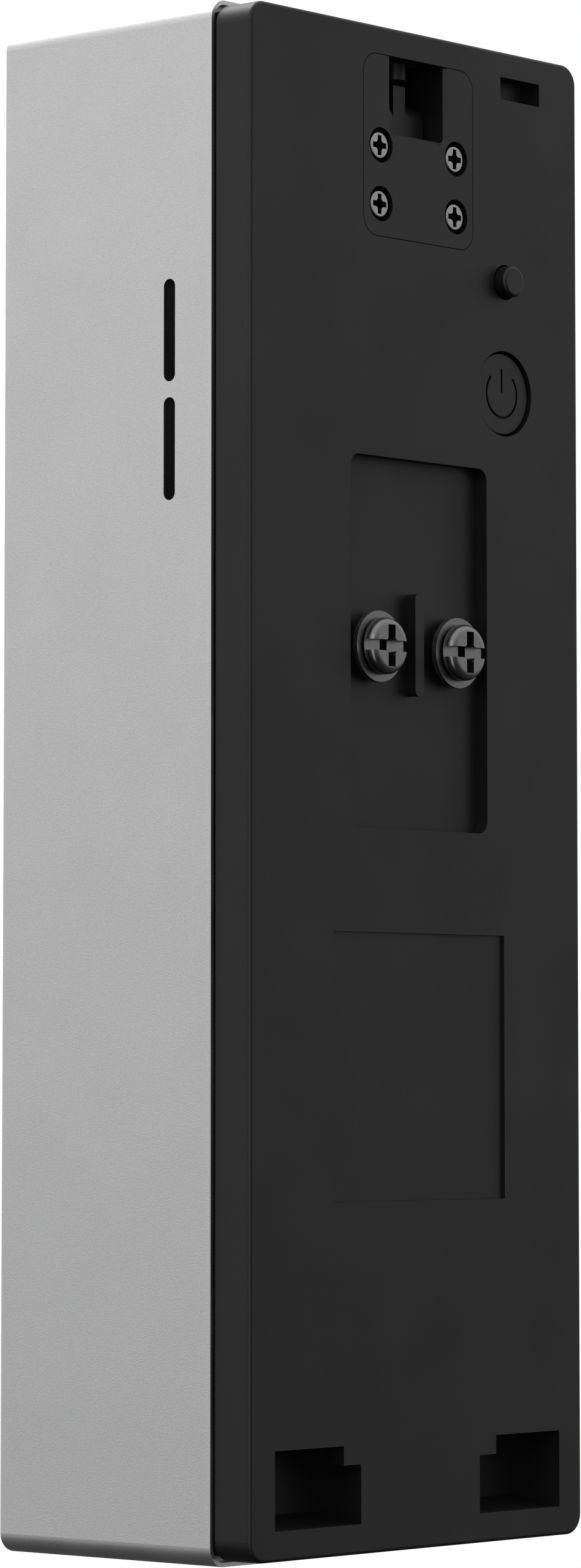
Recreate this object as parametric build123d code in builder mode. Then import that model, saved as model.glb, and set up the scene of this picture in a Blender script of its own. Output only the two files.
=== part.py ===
"""Battery video doorbell that hangs on a wall bracket, built as separate pieces.

The frame's origin is the centre of the rear cover's flat back face. +Y points out of that face,
towards the wall, +Z is up, and the front of the doorbell looks along -Y. Millimetres.
"""

import os

from build123d import *

os.makedirs("parts", exist_ok=True)

# Outer shell
sleeve_w, sleeve_h, sleeve_r = 54.15, 161.4, 2.0
sleeve_front, sleeve_rear = -35.3, -5.2
sleeve_edge = 0.5
sleeve_wall = 1.6
rim_w, rim_depth = 0.45, 0.9
cover_w, cover_h, cover_r = 53.7, 160.2, 2.2
cover_flange = 4.75
cover_skin = 2.2
cover_edge = 0.4
plug_gap = 0.15
plug_end = -8.2
plug_wall = 1.5
inner_w = sleeve_w - 2 * sleeve_wall
inner_h = sleeve_h - 2 * sleeve_wall
inner_r = sleeve_r - 1.1
overcut, through = 1.0, 40.0
plug_w, plug_h = inner_w - 2 * plug_gap, inner_h - 2 * plug_gap

# Slots in the side of the sleeve, in front of the speaker
slot_y, slot_z, slot_pitch = -11.1, 40.3, 12.4
slot_length, slot_width = 10.75, 1.6

# Latch at the top of the back
latch_w, latch_h, latch_r, latch_t = 17.88, 19.35, 2.0, 2.55
latch_top = 77.0
latch_seam = 0.09
latch_z = latch_top - latch_h / 2
window_w, window_sill, window_chamfer, window_corner = 8.9, 68.85, 0.4, 0.6
chamber_w, chamber_floor, chamber_end = 9.2, 59.5, -8.0
guide_boss_d, guide_boss_end, guide_boss_y = 2.4, 75.35, -3.33
release_hole_d = 1.4
latch_screw_x, latch_screw_z, latch_shank_end = 6.18, (67.33, 61.07), 7.0
slider_face, slider_back, slider_bottom = -2.75, -6.7, 65.0
nose_w, nose_top, nose_r = 7.86, 73.4, 2.4
bar_w, bar_back, bar_top = 1.96, -4.6, 74.75

# Small screws
small_head_d, small_head_t, small_head_sink = 2.8, 1.0, 0.2
small_bore_d, small_shank_d = 3.78, 1.6
small_cross, small_cross_w, small_cross_r, small_cross_depth = 2.15, 0.6, 0.36, 0.85
chassis_head_d, chassis_head_t, board_head_d, board_head_t = 3.4, 1.3, 3.0, 1.0
post_hole, post_reach, board_hole, board_reach = 6.0, 5.5, 3.0, 2.5

# Keyed pocket, tamper plunger and power button on the right of the back
key_w, key_h, key_depth, key_at = 6.65, 2.47, 2.08, (-17.05, 76.07)
key_pad_h, key_pad_t, key_pad_z = 6.0, 3.6, 75.47
tamper_at = (-14.4, 54.85)
tamper_hole_d, tamper_d, tamper_proud = 3.83, 3.4, 1.4
power_at = (-14.2, 42.7)
power_hole_d, power_d, power_sink = 9.3, 8.9, 0.35
symbol_r, symbol_w, symbol_depth, symbol_gap = 2.55, 0.3, 0.15, 45
symbol_bar, symbol_bar_z = 2.65, 1.45
flange_y, flange_t = -cover_skin - 0.15, 0.7

# Wire terminals
well_w, well_h, well_depth, well_r, well_z = 22.34, 39.2, 1.38, 1.3, 14.62
well_pad_t, well_pad_margin = 3.3, 1.3
rib_w, rib_h, rib_z = 1.4, 10.9, 14.65
terminal_x, terminal_z = 6.42, 14.15
washer_d, washer_t = 7.5, 0.6
head_d, head_t, head_edge = 6.0, 1.64, 0.85
drive_w, drive_len, drive_corner = 1.15, 4.4, 0.35
drive_depth, drive_pocket = 1.25, 1.9
thread_d, thread_clear = 2.9, 0.05
post_collar_d, post_stem_d = 6.4, 5.0

# Shallow label recess and the two hook pockets at the bottom
label_w, label_h, label_depth, label_z = 27.85, 28.05, 0.35, -29.86
pocket_in, pocket_step, pocket_out = 9.6, 12.33, 23.03
pocket_top, pocket_notch, pocket_bottom = -68.88, -70.87, -77.0
pocket_depth, pocket_ramp = 6.3, 1.0
pocket_wall = 1.4
in_skin, block_wall, latch_block_foot = -1.0, 1.2, 2.5

# Boards, in the rear bay and in the front bay
rear_board_y, board_t = -6.2, 1.2
rear_board_span, rear_board_rise = (-19.0, 14.5), (4.5, 56.6)
rear_board_post, board_post_d = ((12.0, 44.0), (-16.0, 8.0)), 3.6
main_board_y = -21.6
main_board_face = main_board_y - board_t
floor_front, floor_rear = -20.6, -19.0
chassis_front = -32.0
post_x, post_z, post_d = 21.4, (62.0, 5.0, -62.0), 4.4

# Front panel
panel_face, panel_back = -34.9, -32.6
camera_z, camera_hole_d = 54.0, 28.4
pir_z, pir_hole_d = 22.0, 14.4
mic_z, mic_hole_d = -22.0, 1.2
chime_z, ring_d, chime_d = -48.0, 28.0, 22.4
pipe_at, pipe_d = (10.0, 8.0), 2.4


def facing_back(y):
    """Sketch plane parallel to the wall at Y = y. Extruding from it goes towards the front."""
    return Plane.XZ.offset(-y)


def sideways(x):
    """Sketch plane across the doorbell at X = x. Extruding from it goes towards +X."""
    return Plane.YZ.offset(x)


def slab(width, height, y, depth, at=(0, 0), radius=0, mode=Mode.ADD):
    """Rectangle parallel to the wall, rounded or not, from Y = y forwards by depth."""
    with BuildSketch(facing_back(y)) as outline:
        with Locations(at):
            if radius:
                RectangleRounded(width, height, radius)
            else:
                Rectangle(width, height)
    extrude(outline.sketch, amount=depth, mode=mode)


def disc(diameter, y, depth, at=(0, 0), mode=Mode.ADD):
    """Round of this diameter parallel to the wall, from Y = y forwards by depth."""
    with BuildSketch(facing_back(y)) as outline:
        with Locations(at):
            Circle(diameter / 2)
    extrude(outline.sketch, amount=depth, mode=mode)


def ring(outer, inner, y, depth, at=(0, 0), mode=Mode.ADD):
    """Flat ring parallel to the wall, from Y = y forwards by depth."""
    with BuildSketch(facing_back(y)) as outline:
        with Locations(at):
            Circle(outer / 2)
            Circle(inner / 2, mode=Mode.SUBTRACT)
    extrude(outline.sketch, amount=depth, mode=mode)


def cross_cut(arm_x, arm_z, width, corner, y, depth, at):
    """Cut a cross-shaped drive with rounded inner corners, from Y = y forwards by depth."""
    with BuildSketch(facing_back(y)) as outline:
        with Locations(at):
            Rectangle(arm_x, width)
            Rectangle(width, arm_z)
        fillet(outline.vertices().sort_by_distance(Vector(*at))[:4], corner)
    extrude(outline.sketch, amount=depth, mode=Mode.SUBTRACT)


def frame_band(width, height, radius, band, y, depth, mode=Mode.ADD):
    """Closed band that follows a rounded rectangle, from Y = y forwards by depth."""
    with BuildSketch(facing_back(y)) as outline:
        RectangleRounded(width, height, radius)
        inside = (width - 2 * band, height - 2 * band, max(radius - band, 0.3))
        RectangleRounded(*inside, mode=Mode.SUBTRACT)
    extrude(outline.sketch, amount=depth, mode=mode)


def coil_spring(start, end, coil_d, wire_d, turns):
    """Round-wire compression spring whose coils fill the way from start to end."""
    way = Vector(*end) - Vector(*start)
    axis = way.normalized()
    base = Vector(*start) + axis * wire_d / 2
    length = way.length - wire_d
    with BuildLine() as path:
        Helix(length / turns, length, coil_d / 2 - wire_d / 2, center=base, direction=axis)
    with BuildSketch(Plane(origin=path.line @ 0, z_dir=path.line % 0)) as wire:
        Circle(wire_d / 2)
    sweep(wire.sketch, path=path.line, is_frenet=True)


def save(part, name):
    """Label a finished piece and write it to its own STEP file."""
    part.part.label = name
    export_step(part.part, f"parts/{name}.step")


# --- Shell ------------------------------------------------------------------------------------

# Extruded aluminium sleeve: an open tube with a thin rim at the rear and two speaker slots
with BuildPart() as sleeve:
    slab(sleeve_w, sleeve_h, sleeve_rear, sleeve_rear - sleeve_front, radius=sleeve_r)
    fillet(sleeve.faces().sort_by(Axis.Y)[0].edges(), sleeve_edge)
    slab(inner_w, inner_h, 0, through, radius=inner_r, mode=Mode.SUBTRACT)
    rebate = (sleeve_w - 2 * rim_w, sleeve_h - 2 * rim_w)
    slab(*rebate, sleeve_rear, rim_depth, radius=sleeve_r - rim_w, mode=Mode.SUBTRACT)
    with BuildSketch(sideways(sleeve_w / 2 - sleeve_wall - overcut)):
        with Locations((slot_y, slot_z + slot_pitch / 2), (slot_y, slot_z - slot_pitch / 2)):
            SlotOverall(slot_length, slot_width, rotation=90)
    extrude(amount=sleeve_wall + 2 * overcut, mode=Mode.SUBTRACT)
save(sleeve, "sleeve")

# Moulded rear cover: flange and plug, with pads and walls inside for everything let into it
with BuildPart() as rear_cover:
    slab(cover_w, cover_h, 0, cover_flange, radius=cover_r)
    fillet(rear_cover.faces().sort_by(Axis.Y)[-1].edges(), cover_edge)
    slab(plug_w, plug_h, -cover_flange, -cover_flange - plug_end, radius=inner_r)
    hollow = (plug_w - 2 * plug_wall, plug_h - 2 * plug_wall)
    slab(*hollow, -cover_skin, through, radius=0.6, mode=Mode.SUBTRACT)
    # Latch block, terminal pad, key pad and pocket blocks, all standing on the skin
    block_top = plug_h / 2 - plug_wall - 0.05
    block_h = block_top - chamber_floor + latch_block_foot
    slab(latch_w + 2 * block_wall, block_h, in_skin, in_skin - chamber_end + block_wall,
         at=(0, block_top - block_h / 2))
    slab(well_w + 2 * well_pad_margin, well_h + 2 * well_pad_margin, in_skin, in_skin + well_pad_t,
         at=(0, well_z))
    slab(key_w + 2 * block_wall, key_pad_h, in_skin, in_skin + key_pad_t, at=(key_at[0], key_pad_z))
    pocket_span = pocket_out - pocket_in
    pocket_tall = pocket_top - pocket_bottom
    for side in (1, -1):
        pocket_mid = (side * (pocket_in + pocket_span / 2), pocket_bottom + pocket_tall / 2)
        block = (pocket_span + 2 * pocket_wall, pocket_tall + 2 * pocket_wall)
        slab(*block, in_skin, in_skin + pocket_depth + pocket_wall, at=pocket_mid)
        # L-shaped mouth through the skin, full rectangle behind it
        slab(pocket_span, pocket_notch - pocket_bottom, 0, cover_skin,
             at=(pocket_mid[0], (pocket_notch + pocket_bottom) / 2), mode=Mode.SUBTRACT)
        slab(pocket_out - pocket_step, pocket_tall, 0, cover_skin,
             at=(side * (pocket_out + pocket_step) / 2, pocket_mid[1]), mode=Mode.SUBTRACT)
        # The pocket's lower wall rises towards the front
        with BuildSketch(sideways(min(side * pocket_in, side * pocket_out))):
            with BuildLine():
                Polyline(
                    (-cover_skin, pocket_top),
                    (-cover_skin, pocket_bottom),
                    (-pocket_depth, pocket_bottom + pocket_ramp),
                    (-pocket_depth, pocket_top),
                    close=True,
                )
            make_face()
        extrude(amount=pocket_span, mode=Mode.SUBTRACT)
    # Seat and chamber of the latch, with the guide boss of the release hole in its ceiling
    slab(latch_w + 2 * latch_seam, latch_h + 2 * latch_seam, 0, latch_t, at=(0, latch_z),
         radius=latch_r + latch_seam, mode=Mode.SUBTRACT)
    slab(chamber_w, latch_top - chamber_floor, 0, -chamber_end,
         at=(0, (latch_top + chamber_floor) / 2), mode=Mode.SUBTRACT)
    with BuildSketch(Plane.XY.offset(guide_boss_end)):
        with Locations((0, guide_boss_y)):
            Circle(guide_boss_d / 2)
    extrude(amount=latch_top - guide_boss_end + overcut / 2)
    with BuildSketch(Plane.XY.offset(guide_boss_end)):
        with Locations((0, guide_boss_y)):
            Circle(release_hole_d / 2)
    extrude(amount=cover_h / 2 - guide_boss_end + overcut, mode=Mode.SUBTRACT)
    for screw_z in latch_screw_z:
        for side in (1, -1):
            disc(small_shank_d, 0, latch_shank_end, at=(side * latch_screw_x, screw_z),
                 mode=Mode.SUBTRACT)
    # Terminal well with its rib, label recess, keyed pocket and the two plunger holes
    slab(well_w, well_h, 0, well_depth, at=(0, well_z), radius=well_r, mode=Mode.SUBTRACT)
    slab(rib_w, rib_h, 0, well_depth, at=(0, rib_z), radius=rib_w / 2 - 0.1)
    for side in (1, -1):
        disc(post_stem_d, 0, well_pad_t + overcut, at=(side * terminal_x, terminal_z), mode=Mode.SUBTRACT)
    slab(label_w, label_h, 0, label_depth, at=(0, label_z), mode=Mode.SUBTRACT)
    slab(key_w, key_h, 0, key_depth, at=key_at, mode=Mode.SUBTRACT)
    disc(tamper_hole_d, 0, cover_skin, at=tamper_at, mode=Mode.SUBTRACT)
    disc(power_hole_d, 0, cover_skin, at=power_at, mode=Mode.SUBTRACT)
    # Posts that take the chassis screws
    for z in post_z:
        for side in (1, -1):
            disc(post_d, in_skin, in_skin - floor_rear, at=(side * post_x, z))
            disc(small_shank_d, floor_rear + post_hole, post_hole, at=(side * post_x, z),
                 mode=Mode.SUBTRACT)
    # Posts that carry the rear board
    for at in rear_board_post:
        disc(board_post_d, in_skin, in_skin - rear_board_y, at=at)
        disc(small_shank_d, rear_board_y + board_hole, board_hole, at=at, mode=Mode.SUBTRACT)
save(rear_cover, "rear_cover")

# Rubber seal squeezed between the cover's flange and the sleeve, set back from the visible rim
seal_inset = 1.1
seal_w, seal_h = sleeve_w - 2 * seal_inset, sleeve_h - 2 * seal_inset
with BuildPart() as rear_seal:
    seal_t = rim_depth - sleeve_rear - cover_flange
    frame_band(seal_w, seal_h, inner_r, (seal_w - plug_w) / 2, -cover_flange, seal_t)
save(rear_seal, "rear_seal")

# Glossy front panel, set just inside the sleeve's front edge
with BuildPart() as front_panel:
    slab(plug_w, plug_h, panel_back, panel_back - panel_face, radius=inner_r)
    fillet(front_panel.faces().sort_by(Axis.Y)[0].edges(), 0.5)
    holes = (
        (camera_hole_d, (0, camera_z)),
        (pir_hole_d, (0, pir_z)),
        (mic_hole_d, (0, mic_z)),
        (ring_d + 0.3, (0, chime_z)),
        (pipe_d + 0.1, pipe_at),
    )
    for hole_d, at in holes:
        disc(hole_d, panel_back, panel_back - panel_face, at=at, mode=Mode.SUBTRACT)
save(front_panel, "front_panel")

# Rubber seal between the panel and the chassis
with BuildPart() as front_seal:
    frame_band(plug_w, plug_h, inner_r, 1.4, chassis_front, chassis_front - panel_back)
save(front_seal, "front_seal")

# Slim loudspeaker: its size and its place behind the slots
speaker_w, speaker_h, speaker_t, speaker_gap = 6.2, 26.6, 6.0, 0.2
speaker_y = slot_y - 0.4

# Inner chassis: a wall all round and a floor that parts the front bay from the rear bay
link_at, lead_at = (-8.0, 30.0), (6.0, 29.0)
link_w, link_h, plug_hole_w, plug_hole_h = 10.0, 3.0, 9.0, 6.0
board_screw_at = [(x, z) for x in (16.0, -16.0) for z in (32.0, -66.0)]
with BuildPart() as chassis:
    frame_band(plug_w, plug_h, inner_r, plug_wall, plug_end, plug_end - chassis_front)
    slab(plug_w - plug_wall, plug_h - plug_wall, floor_rear, floor_rear - floor_front)
    for at in board_screw_at:
        disc(board_post_d, floor_front, floor_front - main_board_y, at=at)
        disc(small_shank_d, floor_rear, floor_rear - main_board_y, at=at, mode=Mode.SUBTRACT)
    for z in post_z:
        for side in (1, -1):
            disc(small_shank_d, floor_rear, floor_rear - floor_front, at=(side * post_x, z),
                 mode=Mode.SUBTRACT)
    floor_t = floor_rear - floor_front
    slab(link_w + 1, link_h + 1, floor_rear, floor_t, at=link_at, mode=Mode.SUBTRACT)
    slab(plug_hole_w, plug_hole_h, floor_rear, floor_t, at=lead_at, mode=Mode.SUBTRACT)
    # Window in the side wall for the speaker
    with BuildSketch(sideways(plug_w / 2 - plug_wall - overcut)):
        with Locations((speaker_y, slot_z)):
            Rectangle(speaker_w + 2 * speaker_gap, speaker_h + 3 * speaker_gap)
    extrude(amount=plug_wall + 2 * overcut, mode=Mode.SUBTRACT)
save(chassis, "chassis")

# Six screws that pull the chassis onto the cover's posts
with BuildPart() as chassis_screws:
    for z in post_z:
        for side in (1, -1):
            at = (side * post_x, z)
            disc(chassis_head_d, floor_front, chassis_head_t, at=at)
            disc(small_shank_d, floor_rear + post_reach, floor_t + post_reach, at=at)
            cross_cut(small_cross, small_cross, small_cross_w, small_cross_r,
                      floor_front - chassis_head_t + small_cross_depth, small_cross_depth, at)
save(chassis_screws, "chassis_screws")

# --- Latch ------------------------------------------------------------------------------------

# U-shaped cover plate over the latch, flush with the back, its window open at the top
with BuildPart() as latch_cover:
    slab(latch_w, latch_h, 0, latch_t, at=(0, latch_z), radius=latch_r)
    window_h = latch_top - window_sill
    slab(window_w, window_h + overcut, 0, latch_t, at=(0, window_sill + (window_h + overcut) / 2),
         mode=Mode.SUBTRACT)
    sill_corners = latch_cover.edges().filter_by(Axis.Y).filter_by_position(
        Axis.X, -window_w / 2 - 0.01, window_w / 2 + 0.01
    ).filter_by_position(Axis.Z, window_sill - 0.01, window_sill + 0.01)
    fillet(sill_corners, window_corner)
    mouth = latch_cover.faces().sort_by(Axis.Y)[-1].edges()
    inside = mouth.filter_by_position(Axis.X, -window_w / 2 - 0.1, window_w / 2 + 0.1)
    chamfer(inside.filter_by_position(Axis.Z, window_sill - 0.1, latch_top - 0.1), window_chamfer)
    for screw_z in latch_screw_z:
        for side in (1, -1):
            at = (side * latch_screw_x, screw_z)
            disc(small_bore_d, 0, small_head_sink + small_head_t, at=at, mode=Mode.SUBTRACT)
            disc(small_shank_d, 0, latch_t, at=at, mode=Mode.SUBTRACT)
save(latch_cover, "latch_cover")

# Four cross-head screws that hold it
latch_shank = latch_shank_end - small_head_sink - small_head_t - overcut / 2
with BuildPart() as latch_screws:
    for screw_z in latch_screw_z:
        for side in (1, -1):
            at = (side * latch_screw_x, screw_z)
            disc(small_head_d, -small_head_sink, small_head_t, at=at)
            disc(small_shank_d, -small_head_sink - small_head_t, latch_shank, at=at)
    heads = latch_screws.faces().filter_by(Axis.Y).sort_by(Axis.Y)[-4:]
    fillet(heads.edges().filter_by(GeomType.CIRCLE), 0.12)
    for screw_z in latch_screw_z:
        for side in (1, -1):
            at = (side * latch_screw_x, screw_z)
            cross_cut(small_cross, small_cross, small_cross_w, small_cross_r, -small_head_sink,
                      small_cross_depth, at)
save(latch_screws, "latch_screws")

# Latch slider: wide foot behind the cover, rounded nose in the window, bar up to the guide boss
with BuildPart() as latch_slider:
    with BuildSketch(sideways(-nose_w / 2)):
        with BuildLine():
            Polyline(
                (slider_face - nose_r, nose_top),
                (slider_back, nose_top),
                (slider_back, slider_bottom),
                (slider_face, slider_bottom),
                (slider_face, nose_top - nose_r),
            )
            RadiusArc((slider_face - nose_r, nose_top), (slider_face, nose_top - nose_r), nose_r)
        make_face()
    extrude(amount=nose_w)
    foot_h = window_sill - 0.4 - slider_bottom
    foot_z = slider_bottom + foot_h / 2
    slab(chamber_w - 0.3, foot_h, slider_face, slider_face - slider_back, at=(0, foot_z))
    bar_h = bar_top - (nose_top - nose_r - 0.5)
    slab(bar_w, bar_h, slider_face, slider_face - bar_back, at=(0, bar_top - bar_h / 2))
save(latch_slider, "latch_slider")

# Compression spring that pushes the slider up
with BuildPart() as latch_spring:
    spring_y = (slider_face + slider_back) / 2
    coil_spring((0, spring_y, chamber_floor), (0, spring_y, slider_bottom), 3.4, 0.4, 6)
save(latch_spring, "latch_spring")

# --- Plungers on the back ---------------------------------------------------------------------

# Tamper plunger: domed cap through the cover, retaining flange and a stem into its switch
stem_end, tamper_switch_top, tamper_switch_d = -4.6, -4.5, 3.0
tamper_flange_d, tamper_stem_d, tamper_bore = 5.2, 1.6, 1.6
with BuildPart() as tamper_plunger:
    disc(tamper_d, tamper_proud, tamper_proud - flange_y, at=tamper_at)
    fillet(tamper_plunger.faces().sort_by(Axis.Y)[-1].edges(), 0.4)
    disc(tamper_flange_d, flange_y, flange_t, at=tamper_at)
    disc(tamper_stem_d, flange_y - flange_t, flange_y - flange_t - stem_end, at=tamper_at)
save(tamper_plunger, "tamper_plunger")

with BuildPart() as tamper_switch:
    disc(tamper_switch_d, tamper_switch_top, tamper_switch_top - rear_board_y, at=tamper_at)
    disc(tamper_stem_d + 0.2, tamper_switch_top, tamper_bore, at=tamper_at, mode=Mode.SUBTRACT)
save(tamper_switch, "tamper_switch")

with BuildPart() as tamper_spring:
    tamper_x, tamper_z = tamper_at
    coil_spring((tamper_x, rear_board_y, tamper_z), (tamper_x, flange_y - flange_t, tamper_z), 4.4, 0.3, 4)
save(tamper_spring, "tamper_spring")

# Power button: flat cap a little below the back face, with a power symbol cut into it
switch_top, power_flange_d, power_stem_d, switch_w, switch_bore = -4.7, 10.4, 2.0, 4.5, 1.2
with BuildPart() as power_button:
    disc(power_d, -power_sink, -power_sink - flange_y, at=power_at)
    fillet(power_button.faces().sort_by(Axis.Y)[-1].edges(), 0.2)
    disc(power_flange_d, flange_y, flange_t, at=power_at)
    with BuildSketch(facing_back(-power_sink)) as symbol:
        with BuildLine():
            arc = CenterArc(power_at, symbol_r, 90 + symbol_gap, 360 - 2 * symbol_gap)
        trace(arc, symbol_w)
        with Locations((power_at[0], power_at[1] + symbol_bar_z)):
            SlotOverall(symbol_bar, symbol_w, rotation=90)
    extrude(symbol.sketch, amount=symbol_depth, mode=Mode.SUBTRACT)
save(power_button, "power_button")

with BuildPart() as power_switch:
    slab(switch_w, switch_w, switch_top, switch_top - rear_board_y, at=power_at)
    disc(power_stem_d + 0.2, switch_top, switch_bore, at=power_at, mode=Mode.SUBTRACT)
save(power_switch, "power_switch")

with BuildPart() as power_switch_plunger:
    plunger_top, plunger_tip = flange_y - flange_t, -5.3
    disc(power_stem_d, plunger_top, plunger_top - plunger_tip, at=power_at)
save(power_switch_plunger, "power_switch_plunger")

# --- Wire terminals ---------------------------------------------------------------------------

# Brass posts through the well's floor, tapped for the terminal screws
with BuildPart() as terminal_posts:
    for side in (1, -1):
        at = (side * terminal_x, terminal_z)
        disc(post_collar_d, -washer_t, well_depth - washer_t, at=at)
        disc(post_stem_d, -well_depth, -well_depth - rear_board_y, at=at)
        disc(thread_d + 2 * thread_clear, 0, through, at=at, mode=Mode.SUBTRACT)
save(terminal_posts, "terminal_posts")

# A washer and a combination-head screw on each post
for name, side in (("left", 1), ("right", -1)):
    at = (side * terminal_x, terminal_z)
    with BuildPart() as terminal_washer:
        ring(washer_d, thread_d + 0.2, 0, washer_t - 0.02, at=at)
    save(terminal_washer, f"terminal_washer_{name}")

    with BuildPart() as terminal_screw:
        disc(head_d, head_t, head_t - 0.02, at=at)
        fillet(terminal_screw.faces().sort_by(Axis.Y)[-1].edges(), head_edge)
        disc(thread_d, 0.02, -0.02 - rear_board_y - 0.3, at=at)
        cross_cut(head_d + 1, drive_len, drive_w, drive_corner, head_t, drive_depth, at)
        slab(drive_w, drive_len, head_t, drive_pocket, at=at, mode=Mode.SUBTRACT)
    save(terminal_screw, f"terminal_screw_{name}")

# --- Rear bay ---------------------------------------------------------------------------------

with BuildPart() as rear_board:
    board_w = rear_board_span[1] - rear_board_span[0]
    board_h = rear_board_rise[1] - rear_board_rise[0]
    board_mid = (sum(rear_board_span) / 2, sum(rear_board_rise) / 2)
    slab(board_w, board_h, rear_board_y, board_t, at=board_mid, radius=1.5)
    for at in rear_board_post:
        disc(small_shank_d, rear_board_y, board_t, at=at, mode=Mode.SUBTRACT)
save(rear_board, "rear_board")

with BuildPart() as rear_board_screws:
    for at in rear_board_post:
        disc(board_head_d, rear_board_y - board_t, board_head_t, at=at)
        disc(small_shank_d, rear_board_y + board_reach, board_t + board_reach, at=at)
save(rear_board_screws, "rear_board_screws")

# Header that joins the two boards through the chassis floor
with BuildPart() as board_link:
    link_end = rear_board_y - board_t
    slab(link_w, link_h, link_end, link_end - main_board_y, at=link_at)
save(board_link, "board_link")

# Flat rechargeable pack, its two-wire lead and the plug on it
battery_w, battery_h, battery_t, battery_y, battery_z = 36.0, 86.0, 8.4, -10.6, -22.0
battery_r, battery_edge = 3.0, 1.2
with BuildPart() as battery_pack:
    slab(battery_w, battery_h, battery_y, battery_t, at=(0, battery_z), radius=battery_r)
    fillet(battery_pack.edges().filter_by(Axis.Y, reverse=True), battery_edge)
save(battery_pack, "battery_pack")

lead_d, lead_y, lead_bend, lead_pitch = 1.2, -14.5, 2.4, 3.0
plug_face, plug_size = -17.6, (8.0, 5.0)
with BuildPart() as battery_lead:
    for x in (lead_at[0] - lead_pitch / 2, lead_at[0] + lead_pitch / 2):
        with BuildLine() as lead_path:
            FilletPolyline(
                (x, lead_y, battery_z + battery_h / 2),
                (x, lead_y, lead_at[1]),
                (x, plug_face, lead_at[1]),
                radius=lead_bend,
            )
        with BuildSketch(Plane(lead_path.line @ 0, z_dir=lead_path.line % 0)) as insulation:
            Circle(lead_d / 2)
        sweep(insulation.sketch, path=lead_path.line)
save(battery_lead, "battery_lead")

with BuildPart() as battery_plug:
    slab(*plug_size, plug_face, plug_face - main_board_y, at=lead_at)
save(battery_plug, "battery_plug")

# Slim loudspeaker that fires through the slots, its seal and a water-tight mesh
mesh_t, seal_wall, cone_sink, cone_skirt = 0.2, 0.6, 1.0, 1.0
speaker_x = inner_w / 2 - cone_sink - mesh_t


def oval(inset, corner, x, depth, mode=Mode.ADD):
    """Loudspeaker's outline, inset all round, from X = x towards the slots by depth."""
    with BuildSketch(sideways(x)) as outline:
        with Locations((speaker_y, slot_z)):
            RectangleRounded(speaker_w - 2 * inset, speaker_h - 2 * inset, corner)
    extrude(outline.sketch, amount=depth, mode=mode)


with BuildPart() as speaker:
    oval(0, 1.0, speaker_x - speaker_t, speaker_t)
    oval(seal_wall, 0.8, speaker_x - cone_sink, cone_sink, mode=Mode.SUBTRACT)
save(speaker, "speaker")

with BuildPart() as speaker_cone:
    oval(seal_wall, 0.8, speaker_x - cone_sink, 0.3)
    oval(seal_wall + cone_skirt, 0.8, speaker_x - cone_sink + 0.3, 0.4)
save(speaker_cone, "speaker_cone")

with BuildPart() as speaker_seal:
    oval(0, 1.0, speaker_x, cone_sink)
    oval(seal_wall, 0.8, speaker_x, cone_sink, mode=Mode.SUBTRACT)
save(speaker_seal, "speaker_seal")

with BuildPart() as speaker_mesh:
    oval(0, 1.0, speaker_x + cone_sink, mesh_t)
save(speaker_mesh, "speaker_mesh")

# --- Front bay --------------------------------------------------------------------------------

main_board_w, main_board_rise = 38.6, (-70.0, 36.0)
with BuildPart() as main_board:
    board_h = main_board_rise[1] - main_board_rise[0]
    slab(main_board_w, board_h, main_board_y, board_t, at=(0, sum(main_board_rise) / 2), radius=1.5)
    for at in board_screw_at:
        disc(small_shank_d, main_board_y, board_t, at=at, mode=Mode.SUBTRACT)
save(main_board, "main_board")

with BuildPart() as main_board_screws:
    for at in board_screw_at:
        disc(board_head_d, main_board_face, board_head_t, at=at)
        disc(small_shank_d, floor_rear, floor_rear - main_board_face, at=at)
save(main_board_screws, "main_board_screws")

can_w, can_h, can_t, can_wall, can_at = 22.0, 18.0, 2.2, 0.3, (-6.0, -2.0)
with BuildPart() as shield_can:
    slab(can_w, can_h, main_board_face, can_t, at=can_at, radius=2 * can_wall)
    slab(can_w - 2 * can_wall, can_h - 2 * can_wall, main_board_face, can_t - can_wall, at=can_at,
         mode=Mode.SUBTRACT)
save(shield_can, "shield_can")

# Camera, from its board forwards
camera_at = (0, camera_z)
camera_board_w, camera_board_face = 24.0, floor_front - board_t
with BuildPart() as camera_board:
    slab(camera_board_w, camera_board_w, floor_front, board_t, at=camera_at, radius=1)
save(camera_board, "camera_board")

sensor_w, sensor_h, sensor_t = 6.4, 5.2, 0.7
with BuildPart() as image_sensor:
    slab(sensor_w, sensor_h, camera_board_face, sensor_t, at=camera_at)
save(image_sensor, "image_sensor")

holder_w, holder_neck_d, holder_base = 18.0, 15.0, camera_board_face - 3
holder_shelf, holder_top, barrel_d = -27.2, -28.4, 12.0
with BuildPart() as lens_holder:
    slab(holder_w, holder_w, camera_board_face, camera_board_face - holder_base, at=camera_at, radius=1)
    disc(holder_w, holder_base, holder_base - holder_shelf, at=camera_at)
    disc(holder_neck_d, holder_shelf, holder_shelf - holder_top, at=camera_at)
    disc(barrel_d, 0, through, at=camera_at, mode=Mode.SUBTRACT)
save(lens_holder, "lens_holder")

barrel_back, barrel_neck, barrel_front = -22.6, -30.4, -32.0
barrel_rim_d, barrel_bore_d, lens_d, lens_seat = 13.0, 6.0, 10.0, 0.4
with BuildPart() as lens_barrel:
    disc(barrel_d, barrel_back, barrel_back - barrel_neck, at=camera_at)
    disc(barrel_rim_d, barrel_neck, barrel_neck - barrel_front, at=camera_at)
    disc(barrel_bore_d, 0, through, at=camera_at, mode=Mode.SUBTRACT)
    disc(lens_d, barrel_neck - lens_seat, through, at=camera_at, mode=Mode.SUBTRACT)
save(lens_barrel, "lens_barrel")

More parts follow.
